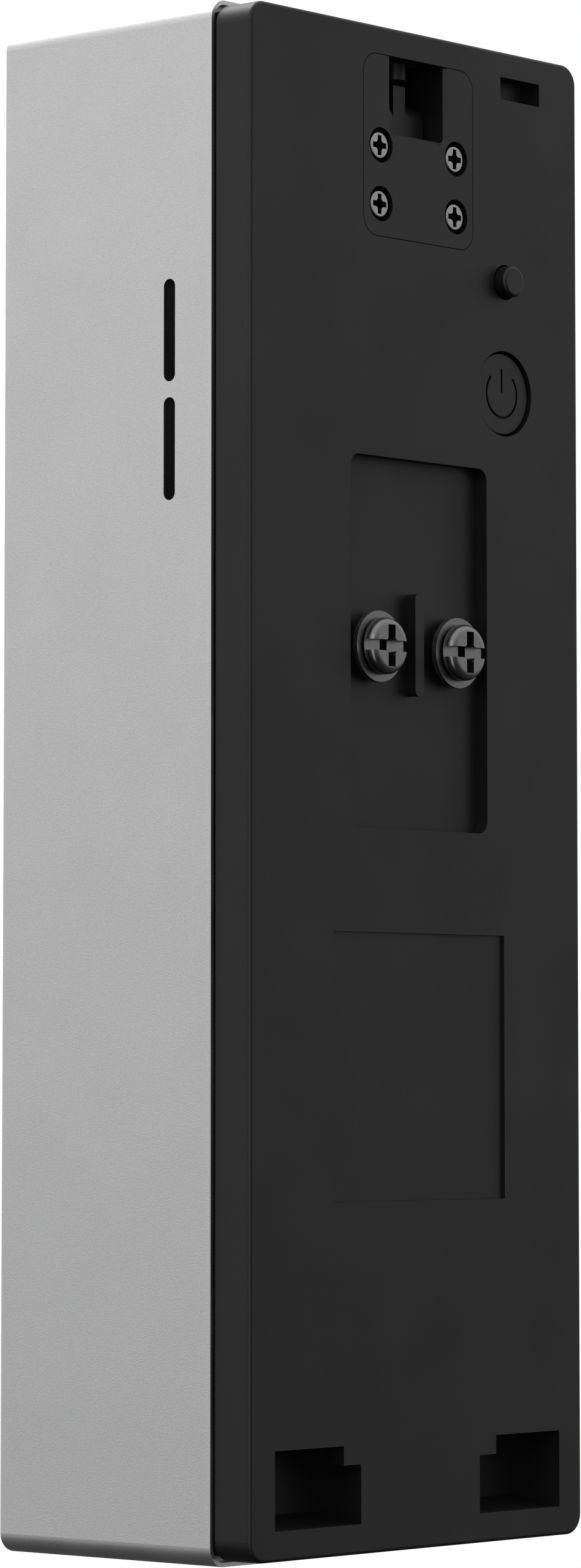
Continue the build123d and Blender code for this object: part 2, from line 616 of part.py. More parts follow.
# Front lens: a flat-backed dome of glass that fills the barrel's seat
lens_back, lens_crown, lens_curve = barrel_neck - lens_seat, -32.9, 10.3
with BuildPart() as lens_element:
    disc(lens_d, lens_back, lens_back - lens_crown, at=camera_at)
    with Locations((0, lens_crown + lens_curve, camera_z)):
        Sphere(lens_curve, mode=Mode.INTERSECT)
save(lens_element, "lens_element")

baffle_d, baffle_bore_d, baffle_face = 16.6, 13.2, -33.4
with BuildPart() as lens_baffle:
    ring(baffle_d, baffle_bore_d, holder_top, holder_top - baffle_face, at=camera_at)
save(lens_baffle, "lens_baffle")

ir_board_d, ir_board_bore_d, ir_board_t = 22.4, 15.2, 0.8
with BuildPart() as ir_board:
    ring(ir_board_d, ir_board_bore_d, holder_shelf, ir_board_t, at=camera_at)
save(ir_board, "ir_board")

ir_led_count, ir_led_circle, ir_led_d, ir_led_t, ir_led_dome = 6, 9.7, 2.4, 2.0, 0.8
with BuildPart() as ir_leds:
    for spot in PolarLocations(ir_led_circle, ir_led_count, start_angle=30):
        at = (spot.position.X, camera_z + spot.position.Y)
        disc(ir_led_d, holder_shelf - ir_board_t, ir_led_t, at=at)
    tips = ir_leds.faces().filter_by(Axis.Y).sort_by(Axis.Y)[:ir_led_count]
    fillet(tips.edges(), ir_led_dome)
save(ir_leds, "ir_leds")

window_back, window_face, bezel_back, bezel_face = -33.7, -35.0, -31.4, -35.2
window_d, bezel_d, bezel_bore_d, bezel_flange_d = 24.5, 28.0, 23.0, 31.0
with BuildPart() as camera_bezel:
    ring(bezel_d, bezel_bore_d, bezel_back, bezel_back - bezel_face, at=camera_at)
    ring(bezel_flange_d, bezel_bore_d, bezel_back, bezel_back - panel_back, at=camera_at)
    disc(window_d + 0.1, window_back, through, at=camera_at, mode=Mode.SUBTRACT)
save(camera_bezel, "camera_bezel")

with BuildPart() as camera_window:
    disc(window_d, window_back, window_back - window_face, at=camera_at)
    fillet(camera_window.faces().sort_by(Axis.Y)[0].edges(), 0.3)
save(camera_window, "camera_window")

flex_w, flex_t = 8.0, 0.2
with BuildPart() as camera_flex:
    with BuildSketch(sideways(-flex_w / 2)):
        with BuildLine() as ribbon:
            Polyline(
                (camera_board_face - flex_t / 2, camera_z - 10),
                (camera_board_face - flex_t / 2, camera_z - 12.6),
                (main_board_face - flex_t / 2, main_board_rise[1] + 0.8),
                (main_board_face - flex_t / 2, main_board_rise[1] - 3),
            )
        trace(ribbon.line, flex_t)
    extrude(amount=flex_w)
save(camera_flex, "camera_flex")

# Motion sensor and its translucent lens
pir_at = (0, pir_z)
pir_rim_d, pir_rim_t, pir_can_d, pir_can_t = 9.8, 0.5, 9.2, 3.7
pir_pane_w, pir_pane_h, pir_pane_sink = 4.0, 3.0, 0.3
with BuildPart() as pir_sensor:
    disc(pir_rim_d, main_board_face, pir_rim_t, at=pir_at)
    disc(pir_can_d, main_board_face - pir_rim_t, pir_can_t, at=pir_at)
    pir_top = main_board_face - pir_rim_t - pir_can_t
    slab(pir_pane_w, pir_pane_h, pir_top + pir_pane_sink, pir_pane_sink, at=pir_at, mode=Mode.SUBTRACT)
save(pir_sensor, "pir_sensor")

pir_flange_d, pir_lens_d, pir_lens_wall, pir_lens_t = 17.0, 14.0, 0.8, 2.6
with BuildPart() as pir_lens:
    disc(pir_flange_d, panel_back + pir_lens_wall, pir_lens_wall, at=pir_at)
    disc(pir_lens_d, panel_back, pir_lens_t, at=pir_at)
    fillet(pir_lens.faces().sort_by(Axis.Y)[0].edges(), 1.5 * pir_lens_wall)
    disc(pir_lens_d - 2 * pir_lens_wall, panel_back + pir_lens_wall, pir_lens_t, at=pir_at,
         mode=Mode.SUBTRACT)
save(pir_lens, "pir_lens")

# Microphone, its rubber boot, the status light pipe and the lights on the board
mic_at, mic_w, mic_h, mic_t, mic_boot_d = (0, mic_z), 4.0, 3.0, 1.1, 4.6
with BuildPart() as microphone:
    slab(mic_w, mic_h, main_board_face, mic_t, at=mic_at)
save(microphone, "microphone")

with BuildPart() as mic_boot:
    mic_face = main_board_face - mic_t
    ring(mic_boot_d, mic_hole_d, mic_face, mic_face - panel_back, at=mic_at)
save(mic_boot, "mic_boot")

led_w, led_t, led_count, led_circle = 1.6, 0.8, 6, 13.1
with BuildPart() as board_leds:
    for spot in PolarLocations(led_circle, led_count):
        slab(led_w, led_w, main_board_face, led_t, at=(spot.position.X, chime_z + spot.position.Y))
    slab(led_w, led_w, main_board_face, led_t, at=pipe_at)
save(board_leds, "board_leds")

with BuildPart() as status_light_pipe:
    disc(pipe_d, main_board_face - led_t, main_board_face - led_t - panel_face, at=pipe_at)
save(status_light_pipe, "status_light_pipe")

antenna_w, antenna_h, antenna_t, antenna_z = 24.0, 6.0, 0.4, 73.6
with BuildPart() as antenna:
    slab(antenna_w, antenna_h, panel_back + antenna_t, antenna_t, at=(0, antenna_z))
save(antenna, "antenna")

# Chime button: light ring in the panel, cap, guide, return spring and switch
chime_at = (0, chime_z)
light_back, ring_bore_d, ring_flange_d, tube_d, tube_bore_d = -31.4, 23.0, 30.5, 27.4, 25.4
with BuildPart() as button_light_ring:
    ring(ring_d, ring_bore_d, light_back, light_back - panel_face, at=chime_at)
    ring(ring_flange_d, ring_bore_d, light_back, light_back - panel_back, at=chime_at)
    tube_end = main_board_face - led_t
    ring(tube_d, tube_bore_d, tube_end, tube_end - light_back, at=chime_at)
save(button_light_ring, "button_light_ring")

guide_back, guide_floor, guide_d, guide_bore_d = -28.4, -29.4, 25.3, 24.5
stem_d, stem_gap, stem_tip = 4.0, 0.2, -27.6
with BuildPart() as button_guide:
    disc(guide_d, guide_back, guide_back - guide_floor, at=chime_at)
    ring(guide_d, guide_bore_d, guide_floor, guide_floor - light_back, at=chime_at)
    disc(stem_d + 2 * stem_gap, guide_back, guide_back - guide_floor, at=chime_at, mode=Mode.SUBTRACT)
save(button_guide, "button_guide")

cap_face, cap_t, cap_stop, cap_wall, cap_flange_d = -35.1, 1.6, -30.5, 1.4, 24.1
with BuildPart() as chime_button:
    disc(chime_d, cap_stop, cap_stop - cap_face, at=chime_at)
    fillet(chime_button.faces().sort_by(Axis.Y)[0].edges(), 0.4)
    disc(cap_flange_d, cap_stop, cap_stop - light_back - 0.05, at=chime_at)
    disc(chime_d - 2 * cap_wall, cap_stop, cap_stop - cap_face - cap_t, at=chime_at, mode=Mode.SUBTRACT)
    disc(stem_d, stem_tip, stem_tip - cap_face - cap_t / 2, at=chime_at)
save(chime_button, "chime_button")

with BuildPart() as button_spring:
    coil_spring((0, guide_floor, chime_z), (0, cap_face + cap_t, chime_z), 7.0, 0.5, 4)
save(button_spring, "button_spring")

chime_switch_w, chime_switch_face, chime_switch_floor = 6.0, -25.8, -24.4
chime_plunger_d = 3.4
with BuildPart() as chime_switch:
    slab(chime_switch_w, chime_switch_w, main_board_face, main_board_face - chime_switch_face, at=chime_at)
    disc(chime_plunger_d + 0.2, chime_switch_floor, through, at=chime_at, mode=Mode.SUBTRACT)
save(chime_switch, "chime_switch")

with BuildPart() as chime_switch_plunger:
    plunger_end = chime_switch_floor - 0.7
    disc(chime_plunger_d, plunger_end, plunger_end - stem_tip, at=chime_at)
save(chime_switch_plunger, "chime_switch_plunger")
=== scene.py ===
import math

import bpy
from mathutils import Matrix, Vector


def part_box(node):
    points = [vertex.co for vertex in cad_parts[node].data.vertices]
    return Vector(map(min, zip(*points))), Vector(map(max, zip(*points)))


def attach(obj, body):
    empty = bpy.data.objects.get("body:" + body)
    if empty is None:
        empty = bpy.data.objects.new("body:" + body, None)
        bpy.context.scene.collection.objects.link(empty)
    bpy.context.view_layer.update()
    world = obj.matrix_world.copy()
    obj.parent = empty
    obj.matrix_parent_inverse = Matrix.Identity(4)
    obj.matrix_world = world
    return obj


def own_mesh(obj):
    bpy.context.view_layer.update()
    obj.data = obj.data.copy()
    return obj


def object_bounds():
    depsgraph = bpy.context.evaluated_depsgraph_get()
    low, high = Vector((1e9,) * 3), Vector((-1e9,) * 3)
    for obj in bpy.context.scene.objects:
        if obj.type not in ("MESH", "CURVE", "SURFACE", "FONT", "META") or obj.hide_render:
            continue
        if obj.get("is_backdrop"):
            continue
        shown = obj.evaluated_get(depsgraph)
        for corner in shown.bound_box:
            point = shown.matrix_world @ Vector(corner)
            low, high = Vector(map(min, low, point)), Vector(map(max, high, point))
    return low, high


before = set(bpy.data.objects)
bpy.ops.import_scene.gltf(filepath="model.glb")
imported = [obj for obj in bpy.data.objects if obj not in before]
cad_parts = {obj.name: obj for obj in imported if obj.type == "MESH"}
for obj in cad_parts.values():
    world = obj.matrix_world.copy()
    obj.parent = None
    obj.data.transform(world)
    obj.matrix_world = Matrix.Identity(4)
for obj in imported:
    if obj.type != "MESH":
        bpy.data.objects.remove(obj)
cad_low, cad_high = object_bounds()
mm = 0.001


# --- Sleeve -----------------------------------------------------------------------------------
# The outer shell is one length of extruded aluminium tube, cut to height, with its front edge
# rounded over and two slots milled through one side for the loudspeaker. It is bead-blasted and
# then clear anodised, which leaves a fine, even, slightly sparkling grain.

def finish_of(name, colour, roughness, metallic=0.0):
    """A new finish: its material, its shader and a texture coordinate node in metres."""
    material = bpy.data.materials.new(name)
    material.use_nodes = True
    shader = material.node_tree.nodes["Principled BSDF"]
    shader.inputs["Base Color"].default_value = (*colour, 1)
    shader.inputs["Roughness"].default_value = roughness
    shader.inputs["Metallic"].default_value = metallic
    place = material.node_tree.nodes.new("ShaderNodeTexCoord")
    return material, shader, place


def grain_in(material, place, size, detail=2.0):
    """Noise whose grains are about this size, in metres."""
    grain = material.node_tree.nodes.new("ShaderNodeTexNoise")
    grain.inputs["Scale"].default_value = 1 / size
    grain.inputs["Detail"].default_value = detail
    material.node_tree.links.new(place.outputs["Object"], grain.inputs["Vector"])
    return grain


def press_into(material, shader, height, depth, strength=1.0):
    """Raise the surface by a height texture of this depth, in metres."""
    bump = material.node_tree.nodes.new("ShaderNodeBump")
    bump.inputs["Strength"].default_value = strength
    bump.inputs["Distance"].default_value = depth
    material.node_tree.links.new(height, bump.inputs["Height"])
    material.node_tree.links.new(bump.outputs["Normal"], shader.inputs["Normal"])


def spread(material, value, low, high, socket, ends=(0.3, 0.7)):
    """Turn a texture's value into a number from low to high, for one of the shader's sockets."""
    scale = material.node_tree.nodes.new("ShaderNodeMapRange")
    scale.inputs["From Min"].default_value, scale.inputs["From Max"].default_value = ends
    scale.inputs["To Min"].default_value, scale.inputs["To Max"].default_value = low, high
    material.node_tree.links.new(value, scale.inputs["Value"])
    material.node_tree.links.new(scale.outputs["Result"], socket)


def two_tone(material, value, dark, light, socket, ends=(0.3, 0.7)):
    """Colour that goes from dark to light with a texture's value."""
    ramp = material.node_tree.nodes.new("ShaderNodeValToRGB")
    ramp.color_ramp.elements[0].position, ramp.color_ramp.elements[1].position = ends
    ramp.color_ramp.elements[0].color = (*dark, 1)
    ramp.color_ramp.elements[1].color = (*light, 1)
    material.node_tree.links.new(value, ramp.inputs["Fac"])
    material.node_tree.links.new(ramp.outputs["Color"], socket)


def dress(material, *nodes):
    """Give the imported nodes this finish."""
    for node in nodes:
        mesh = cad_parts[node].data
        mesh.materials.clear()
        mesh.materials.append(material)


def blasted_aluminium():
    material, shader, place = finish_of("blasted_aluminium", (0.74, 0.74, 0.745), 0.42,
                                        metallic=1.0)
    blast = grain_in(material, place, 0.16 * mm, detail=3.0)
    cloud = grain_in(material, place, 9 * mm)
    two_tone(material, blast.outputs["Fac"], (0.69, 0.69, 0.695), (0.79, 0.79, 0.79),
             shader.inputs["Base Color"])
    spread(material, cloud.outputs["Fac"], 0.38, 0.46, shader.inputs["Roughness"])
    press_into(material, shader, blast.outputs["Fac"], 0.03 * mm, strength=0.5)
    return material


dress(blasted_aluminium(), "sleeve")


# --- Rear cover -------------------------------------------------------------------------------
# The back is one injection moulding in black glass-filled nylon, screwed to the chassis from the
# inside. Its mould was spark-eroded, so every outer face has the same fine satin texture.

def dark_below(material, shader, place, face, shade_grey=0.006, fade=0.05 * mm):
    """Darken a finish below Y = face and lower its specular level there: painted shade in the
    recesses of screw heads and on the power button's sides, and the power button's sunk symbol
    darkened the same way.
    """
    tree = material.node_tree
    apart = tree.nodes.new("ShaderNodeSeparateXYZ")
    tree.links.new(place.outputs["Object"], apart.inputs["Vector"])
    depth = tree.nodes.new("ShaderNodeMapRange")
    depth.inputs["From Min"].default_value = face - fade
    depth.inputs["From Max"].default_value = face
    tree.links.new(apart.outputs["Y"], depth.inputs["Value"])
    clean = shader.inputs["Base Color"].links[0].from_socket
    mix = tree.nodes.new("ShaderNodeMix")
    mix.data_type = "RGBA"
    mix.inputs["A"].default_value = (shade_grey, shade_grey, shade_grey, 1)
    tree.links.new(clean, mix.inputs["B"])
    tree.links.new(depth.outputs["Result"], mix.inputs["Factor"])
    tree.links.new(mix.outputs["Result"], shader.inputs["Base Color"])
    # The painted shade also takes the reflections out: the specular level falls below Y = face.
    spread(material, apart.outputs["Y"], 0.08, 0.5, shader.inputs["Specular IOR Level"],
           ends=(face - fade, face))


def moulded_plastic(name, colour, roughness, texture=0.22 * mm, depth=0.012 * mm, recess=None):
    """Black or coloured plastic from a spark-eroded mould, with painted shade below Y = recess."""
    material, shader, place = finish_of(name, colour, roughness)
    skin = grain_in(material, place, texture, detail=3.0)
    cloud = grain_in(material, place, 14 * mm)
    darker = tuple(0.8 * c for c in colour)
    lighter = tuple(1.25 * c for c in colour)
    two_tone(material, skin.outputs["Fac"], darker, lighter, shader.inputs["Base Color"])
    spread(material, cloud.outputs["Fac"], roughness - 0.04, roughness + 0.04,
           shader.inputs["Roughness"])
    press_into(material, shader, skin.outputs["Fac"], depth, strength=0.6)
    if recess is not None:
        dark_below(material, shader, place, recess)
    return material


nylon_black = (0.004, 0.004, 0.0042)
dress(moulded_plastic("satin_black_nylon", nylon_black, 0.48), "rear_cover")


# --- Latch ------------------------------------------------------------------------------------
# A steel-sprung slider of black acetal catches the wall bracket. It runs behind a U-shaped cover
# plate, moulded like the back and held by four small cross-head screws of zinc-plated steel.

def plated_steel(name, colour, roughness, recess=None):
    """Small plated part: smooth, with faint tumbling marks, and painted shade below Y = recess."""
    material, shader, place = finish_of(name, colour, roughness, metallic=1.0)
    marks = grain_in(material, place, 0.35 * mm, detail=4.0)
    darker = tuple(0.82 * c for c in colour)
    two_tone(material, marks.outputs["Fac"], darker, colour, shader.inputs["Base Color"])
    spread(material, marks.outputs["Fac"], roughness - 0.06, roughness + 0.1,
           shader.inputs["Roughness"])
    press_into(material, shader, marks.outputs["Fac"], 0.01 * mm, strength=0.4)
    if recess is not None:
        dark_below(material, shader, place, recess)
    return material


dress(moulded_plastic("latch_plate_nylon", nylon_black, 0.47), "latch_cover")
dress(moulded_plastic("latch_acetal", nylon_black, 0.42, texture=0.5 * mm), "latch_slider")
zinc, zinc_roughness, cross_start = (0.5, 0.5, 0.51), 0.36, 0.13 * mm
# The latch screws' cross recesses, below cross_top, get painted shade from dark_below.
cross_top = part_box("latch_screws")[1].y - cross_start
dress(plated_steel("zinc_plated_heads", zinc, zinc_roughness, recess=cross_top), "latch_screws")
screw_steel = plated_steel("zinc_plated_steel", zinc, zinc_roughness)
spring_steel = plated_steel("drawn_spring_wire", (0.6, 0.6, 0.61), 0.25)
dress(spring_steel, "latch_spring", "tamper_spring", "button_spring")


def squeeze(node):
    """Give a coil spring's node its own copy of its mesh."""
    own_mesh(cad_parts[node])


# The slider comes down 2.4 mm onto its spring.
squeeze("latch_spring")


# --- Tamper plunger and power button ----------------------------------------------------------
# Both caps are moulded in the back's plastic with a finer skin. The plunger is pushed flush by
# the wall bracket, and the button carries a moulded-in power symbol. The button is darkened below
# the symbol's floor: the sunk symbol turns black, and the button's sides take painted shade.

button_skin, symbol_depth = 0.15 * mm, 0.1 * mm
button_plastic = moulded_plastic("button_nylon", nylon_black, 0.46, texture=button_skin)
dress(button_plastic, "tamper_plunger")
symbol_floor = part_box("power_button")[1].y - symbol_depth
# Everything below symbol_floor is darkened: painted shade on the button's sides, and the sunk symbol
# black.
symbol_darkened_plastic = moulded_plastic("button_nylon_dark_below_symbol", nylon_black, 0.46, texture=button_skin,
                                recess=symbol_floor)
dress(symbol_darkened_plastic, "power_button")
switch_plastic = moulded_plastic("switch_body_nylon", (0.03, 0.03, 0.032), 0.5, texture=0.4 * mm)
dress(switch_plastic, "tamper_switch", "power_switch")
dress(moulded_plastic("switch_plunger_acetal", (0.25, 0.24, 0.21), 0.4), "power_switch_plunger")

# The plunger goes in 1.4 mm onto its spring.
squeeze("tamper_spring")


# --- Wire terminals ---------------------------------------------------------------------------
# Two turned brass posts, coloured almost black as painted shade, are moulded into the back. On
# each sits a washer under a combination-head screw, both of black nickel-plated steel with fine
# turning marks on the heads. The screw slots are darkened below a set depth as painted shade.

def turned_metal(name, colour, roughness, centre, pitch=0.12 * mm, recess=None):
    """Metal turned on a lathe about an axis along Y through centre, with painted shade below Y =
    recess.
    """
    material, shader, place = finish_of(name, colour, roughness, metallic=1.0)
    tree = material.node_tree
    centred = tree.nodes.new("ShaderNodeMapping")
    centred.inputs["Location"].default_value = -Vector(centre)
    tree.links.new(place.outputs["Object"], centred.inputs["Vector"])
    turning = tree.nodes.new("ShaderNodeTexWave")
    turning.wave_type = "RINGS"
    turning.rings_direction = "Y"
    turning.inputs["Scale"].default_value = 0.32 / pitch
    turning.inputs["Distortion"].default_value = 1.5
    tree.links.new(centred.outputs["Vector"], turning.inputs["Vector"])
    stain = grain_in(material, place, 0.6 * mm, detail=4.0)
    darker = tuple(0.9 * c for c in colour)
    two_tone(material, stain.outputs["Fac"], darker, colour, shader.inputs["Base Color"])
    spread(material, stain.outputs["Fac"], roughness - 0.04, roughness + 0.04,
           shader.inputs["Roughness"])
    press_into(material, shader, turning.outputs["Fac"], 0.006 * mm, strength=0.25)
    if recess is not None:
        dark_below(material, shader, place, recess)
    return material


washer_nickel = plated_steel("black_nickel_washer", (0.27, 0.27, 0.273), 0.4)
# Below this depth from the top of each head, the slot and the head's lower side take painted shade.
shade_depth = 1.29 * mm
for side in ("left", "right"):
    low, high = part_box(f"terminal_screw_{side}")
    slot_floor = high.y - shade_depth
    black_nickel = turned_metal(f"black_nickel_{side}", (0.25, 0.25, 0.253), 0.3, (low + high) / 2,
                                recess=slot_floor)
    dress(black_nickel, f"terminal_screw_{side}")
    dress(washer_nickel, f"terminal_washer_{side}")
# The posts' near-black colour is painted shade in the well round the washers.
dress(plated_steel("shade_darkened_brass", (0.03, 0.026, 0.02), 0.5), "terminal_posts")


# --- Rear board -------------------------------------------------------------------------------
# A small green board behind the terminals turns the doorbell transformer's current into the
# battery's charge. A thin lacquer covers its copper tracks, and it is held by two screws.

def lacquered_board(name, track=2.4 * mm):
    """Board with copper tracks that show faintly through green lacquer."""
    material, shader, place = finish_of(name, (0.012, 0.085, 0.035), 0.32)
    tree = material.node_tree
    shader.inputs["Coat Weight"].default_value = 0.4
    shader.inputs["Coat Roughness"].default_value = 0.15
    tracks = tree.nodes.new("ShaderNodeTexBrick")
    tracks.inputs["Scale"].default_value = 0.25 / track
    tracks.inputs["Mortar Size"].default_value = 0.035
    tracks.inputs["Mortar Smooth"].default_value = 0.2
    tracks.inputs["Color1"].default_value = (0.010, 0.075, 0.030, 1)
    tracks.inputs["Color2"].default_value = (0.014, 0.095, 0.040, 1)
    tracks.inputs["Mortar"].default_value = (0.03, 0.17, 0.06, 1)
    upright = tree.nodes.new("ShaderNodeMapping")
    upright.inputs["Rotation"].default_value = (math.pi / 2, 0, 0)
    tree.links.new(place.outputs["Object"], upright.inputs["Vector"])
    tree.links.new(upright.outputs["Vector"], tracks.inputs["Vector"])
    tree.links.new(tracks.outputs["Color"], shader.inputs["Base Color"])
    press_into(material, shader, tracks.outputs["Fac"], 0.03 * mm, strength=0.5)
    return material


def brick(size, centre, finish, edge=0.1 * mm):
    """Block of this size at this place, with every edge rounded over."""
    bpy.ops.object.select_all(action="DESELECT")
    bpy.ops.mesh.primitive_cube_add(size=1, location=centre, scale=size)
    bpy.ops.object.transform_apply(location=True, rotation=False, scale=True)
    bpy.ops.object.mode_set(mode="EDIT")
    bpy.ops.mesh.select_all(action="SELECT")
    bpy.ops.mesh.bevel(offset=edge, segments=2)
    bpy.ops.object.mode_set(mode="OBJECT")
    bpy.context.object.data.materials.append(finish)
    return bpy.context.object


def can(diameter, length, centre, finish, axis="X", edge=0.4 * mm):
    """Round can of this size at this place, with its two rims rounded over."""
    turned = {"X": (0, math.pi / 2, 0), "Y": (math.pi / 2, 0, 0)}[axis]
    bpy.ops.object.select_all(action="DESELECT")
    bpy.ops.mesh.primitive_cylinder_add(vertices=48, radius=diameter / 2, depth=length,
                                        location=centre, rotation=turned)
    bpy.ops.object.transform_apply(location=True, rotation=True, scale=True)
    rims = bpy.context.object.modifiers.new("rims", "BEVEL")
    rims.width, rims.segments, rims.limit_method = edge, 3, "ANGLE"
    rims.angle_limit = math.radians(60)
    bpy.ops.object.modifier_apply(modifier=rims.name)
    bpy.context.object.data.materials.append(finish)
    return bpy.context.object


def fit(name, pieces):
    """Join these pieces into one component that is fixed inside the housing."""
    bpy.ops.object.select_all(action="DESELECT")
    for piece in pieces:
        piece.select_set(True)
    bpy.context.view_layer.objects.active = pieces[0]
    bpy.ops.object.join()
    whole = bpy.context.object
    whole.name = whole.data.name = name
    bpy.ops.object.transform_apply(location=True, rotation=True, scale=True)
    bpy.ops.object.shade_smooth_by_angle(angle=math.radians(35))
    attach(whole, "housing")


tinned_sheet = plated_steel("tinned_sheet", (0.62, 0.62, 0.61), 0.3)
chip_epoxy = moulded_plastic("chip_epoxy", (0.018, 0.018, 0.019), 0.5, texture=0.3 * mm)
fired_ceramic = moulded_plastic("fired_ceramic", (0.36, 0.24, 0.14), 0.35, texture=0.3 * mm)


def chip(name, x, y, z, width, height, leads, thick=1.1 * mm):
    """Packaged circuit on a board's front face at Y = y, with bent leads along two sides."""
    body_t = 0.8 * thick
    pieces = [brick((width, body_t, height), (x, y - thick + body_t / 2, z), chip_epoxy, 0.15 * mm)]
    lead_w, foot, sheet = 0.4 * mm, 0.7 * mm, 0.15 * mm
    pitch = height / leads
    for n in range(leads):
        lead_z = z - height / 2 + pitch * (n + 0.5)
        for side in (1, -1):
            edge = x + side * width / 2
            for size, centre in (
                ((foot, sheet, lead_w), (edge + side * foot, y - sheet / 2, lead_z)),
                ((sheet, thick / 2, lead_w), (edge + side * foot / 2, y - thick / 4, lead_z)),
                ((foot / 2, sheet, lead_w), (edge + side * foot / 4, y - thick / 2, lead_z)),
            ):
                pieces.append(brick(size, centre, tinned_sheet, sheet / 4))
    fit(name, pieces)


def chip_capacitor(name, x, y, z):
    """Ceramic capacitor on a board's front face at Y = y: a fired body between two tinned ends."""
    length, section, end = 1.6 * mm, 0.8 * mm, 0.35 * mm
    body, centre_y = section * 0.92, y - section / 2
    pieces = [brick((length - end, body, body), (x, centre_y, z), fired_ceramic)]
    for side in (1, -1):
        end_at = (x + side * (length - end) / 2, centre_y, z)
        pieces.append(brick((end, section, section), end_at, tinned_sheet, 0.08 * mm))
    fit(name, pieces)


board_green = lacquered_board("green_lacquered_board")
dress(board_green, "rear_board")
dress(screw_steel, "rear_board_screws")
dress(switch_plastic, "board_link")
rear_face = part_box("rear_board")[0].y
chip("charge_circuit", -12 * mm, rear_face, 46 * mm, 4 * mm, 5 * mm, 4)
chip("rectifier_bridge", 4 * mm, rear_face, 37 * mm, 4 * mm, 4.4 * mm, 2, thick=1.6 * mm)
for n in range(5):
    chip_capacitor(f"rear_capacitor_{n + 1}", (-15 + 3.4 * n) * mm, rear_face, 38 * mm)
smoothing_y, smoothing_z = rear_face - 2.7 * mm, 48 * mm
fit("smoothing_capacitor", [
    can(5 * mm, 8 * mm, (1 * mm, smoothing_y, smoothing_z), tinned_sheet),
    can(5.04 * mm, 1.2 * mm, (-2.6 * mm, smoothing_y, smoothing_z), chip_epoxy, edge=0.2 * mm),
])


# --- Loudspeaker ------------------------------------------------------------------------------
# A slim oval loudspeaker fires sideways through the sleeve's slots. Its cone is black rubber on
# a moulded body, and a foam seal holds a woven, water-repellent mesh against the slots. A dark
# plug, faced with the same mesh, fills each slot as painted shade inside it.

def soft_rubber(name, colour=(0.014, 0.014, 0.014), roughness=0.7):
    """Moulded silicone or foam: dull, with a soft sheen."""
    material, shader, place = finish_of(name, colour, roughness)
    shader.inputs["Specular IOR Level"].default_value = 0.3
    skin = grain_in(material, place, 0.3 * mm, detail=4.0)
    lighter = tuple(1.6 * c for c in colour)
    two_tone(material, skin.outputs["Fac"], colour, lighter, shader.inputs["Base Color"])
    press_into(material, shader, skin.outputs["Fac"], 0.02 * mm, strength=0.5)
    return material


def woven_mesh(name, thread=0.16 * mm):
    """Plain weave of fine black thread in the plane that faces sideways."""
    material, shader, place = finish_of(name, (0.005, 0.005, 0.005), 0.9)
    shader.inputs["Specular IOR Level"].default_value = 0.02
    tree = material.node_tree
    weave = tree.nodes.new("ShaderNodeTexChecker")
    weave.inputs["Scale"].default_value = 1 / thread
    weave.inputs["Color1"].default_value = (0.010, 0.010, 0.010, 1)
    weave.inputs["Color2"].default_value = (0.006, 0.006, 0.006, 1)
    tree.links.new(place.outputs["Object"], weave.inputs["Vector"])
    tree.links.new(weave.outputs["Color"], shader.inputs["Base Color"])
    press_into(material, shader, weave.outputs["Fac"], 0.05 * mm, strength=0.6)
    return material


seal_rubber = soft_rubber("moulded_silicone")
dress(switch_plastic, "speaker")
dress(soft_rubber("cone_rubber", roughness=0.5), "speaker_cone")
dress(soft_rubber("seal_foam", (0.02, 0.02, 0.02), 0.9), "speaker_seal")
acoustic_mesh = woven_mesh("acoustic_mesh")
dress(acoustic_mesh, "speaker_mesh")

slot_y, slot_z, slot_pitch = -11.1 * mm, 40.3 * mm, 12.4 * mm
plug_d, plug_length, plug_rim = 1.58 * mm, 10.7 * mm, 0.08 * mm
plug_gap, plug_sink = 0.02 * mm, 0.12 * mm


def shade_plug(name, z):
    """Dark plug faced with mesh that fills one slot to just below the sleeve's surface: painted
    shade in the slot.
    """
    inner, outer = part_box("speaker_mesh")[1].x + plug_gap, cad_high.x - plug_sink
    plug_at = ((inner + outer) / 2, slot_y, z)
    plug = can(plug_d, outer - inner, plug_at, acoustic_mesh, edge=plug_rim)
    for way in (1, -1):
        bpy.ops.object.mode_set(mode="EDIT")
        bpy.ops.mesh.select_all(action="DESELECT")
        bpy.ops.object.mode_set(mode="OBJECT")
        for corner in plug.data.vertices:
            corner.select = way * (corner.co.z - z) > 0
        bpy.ops.object.mode_set(mode="EDIT")
        bpy.ops.transform.translate(value=(0, 0, way * (plug_length - plug_d) / 2))
        bpy.ops.object.mode_set(mode="OBJECT")
    fit(name, [plug])


# The dark plugs stand in for the shade inside the sleeve's slots.
shade_plug("slot_plug_upper", slot_z + slot_pitch / 2)
shade_plug("slot_plug_lower", slot_z - slot_pitch / 2)


# --- Battery ----------------------------------------------------------------------------------
# The rechargeable pack is two flat cells in crinkled, heat-shrunk film. A red and a black wire
# with silicone insulation run from its upper end to a plug on the main board.

def shrink_film():
    material, shader, place = finish_of("shrink_film", (0.06, 0.16, 0.36), 0.3)
    crinkle = grain_in(material, place, 3 * mm, detail=6.0)
    shader.inputs["Coat Weight"].default_value = 0.5
    shader.inputs["Coat Roughness"].default_value = 0.12
    two_tone(material, crinkle.outputs["Fac"], (0.05, 0.13, 0.31), (0.08, 0.2, 0.42),
             shader.inputs["Base Color"])
    press_into(material, shader, crinkle.outputs["Fac"], 0.25 * mm, strength=0.4)
    return material


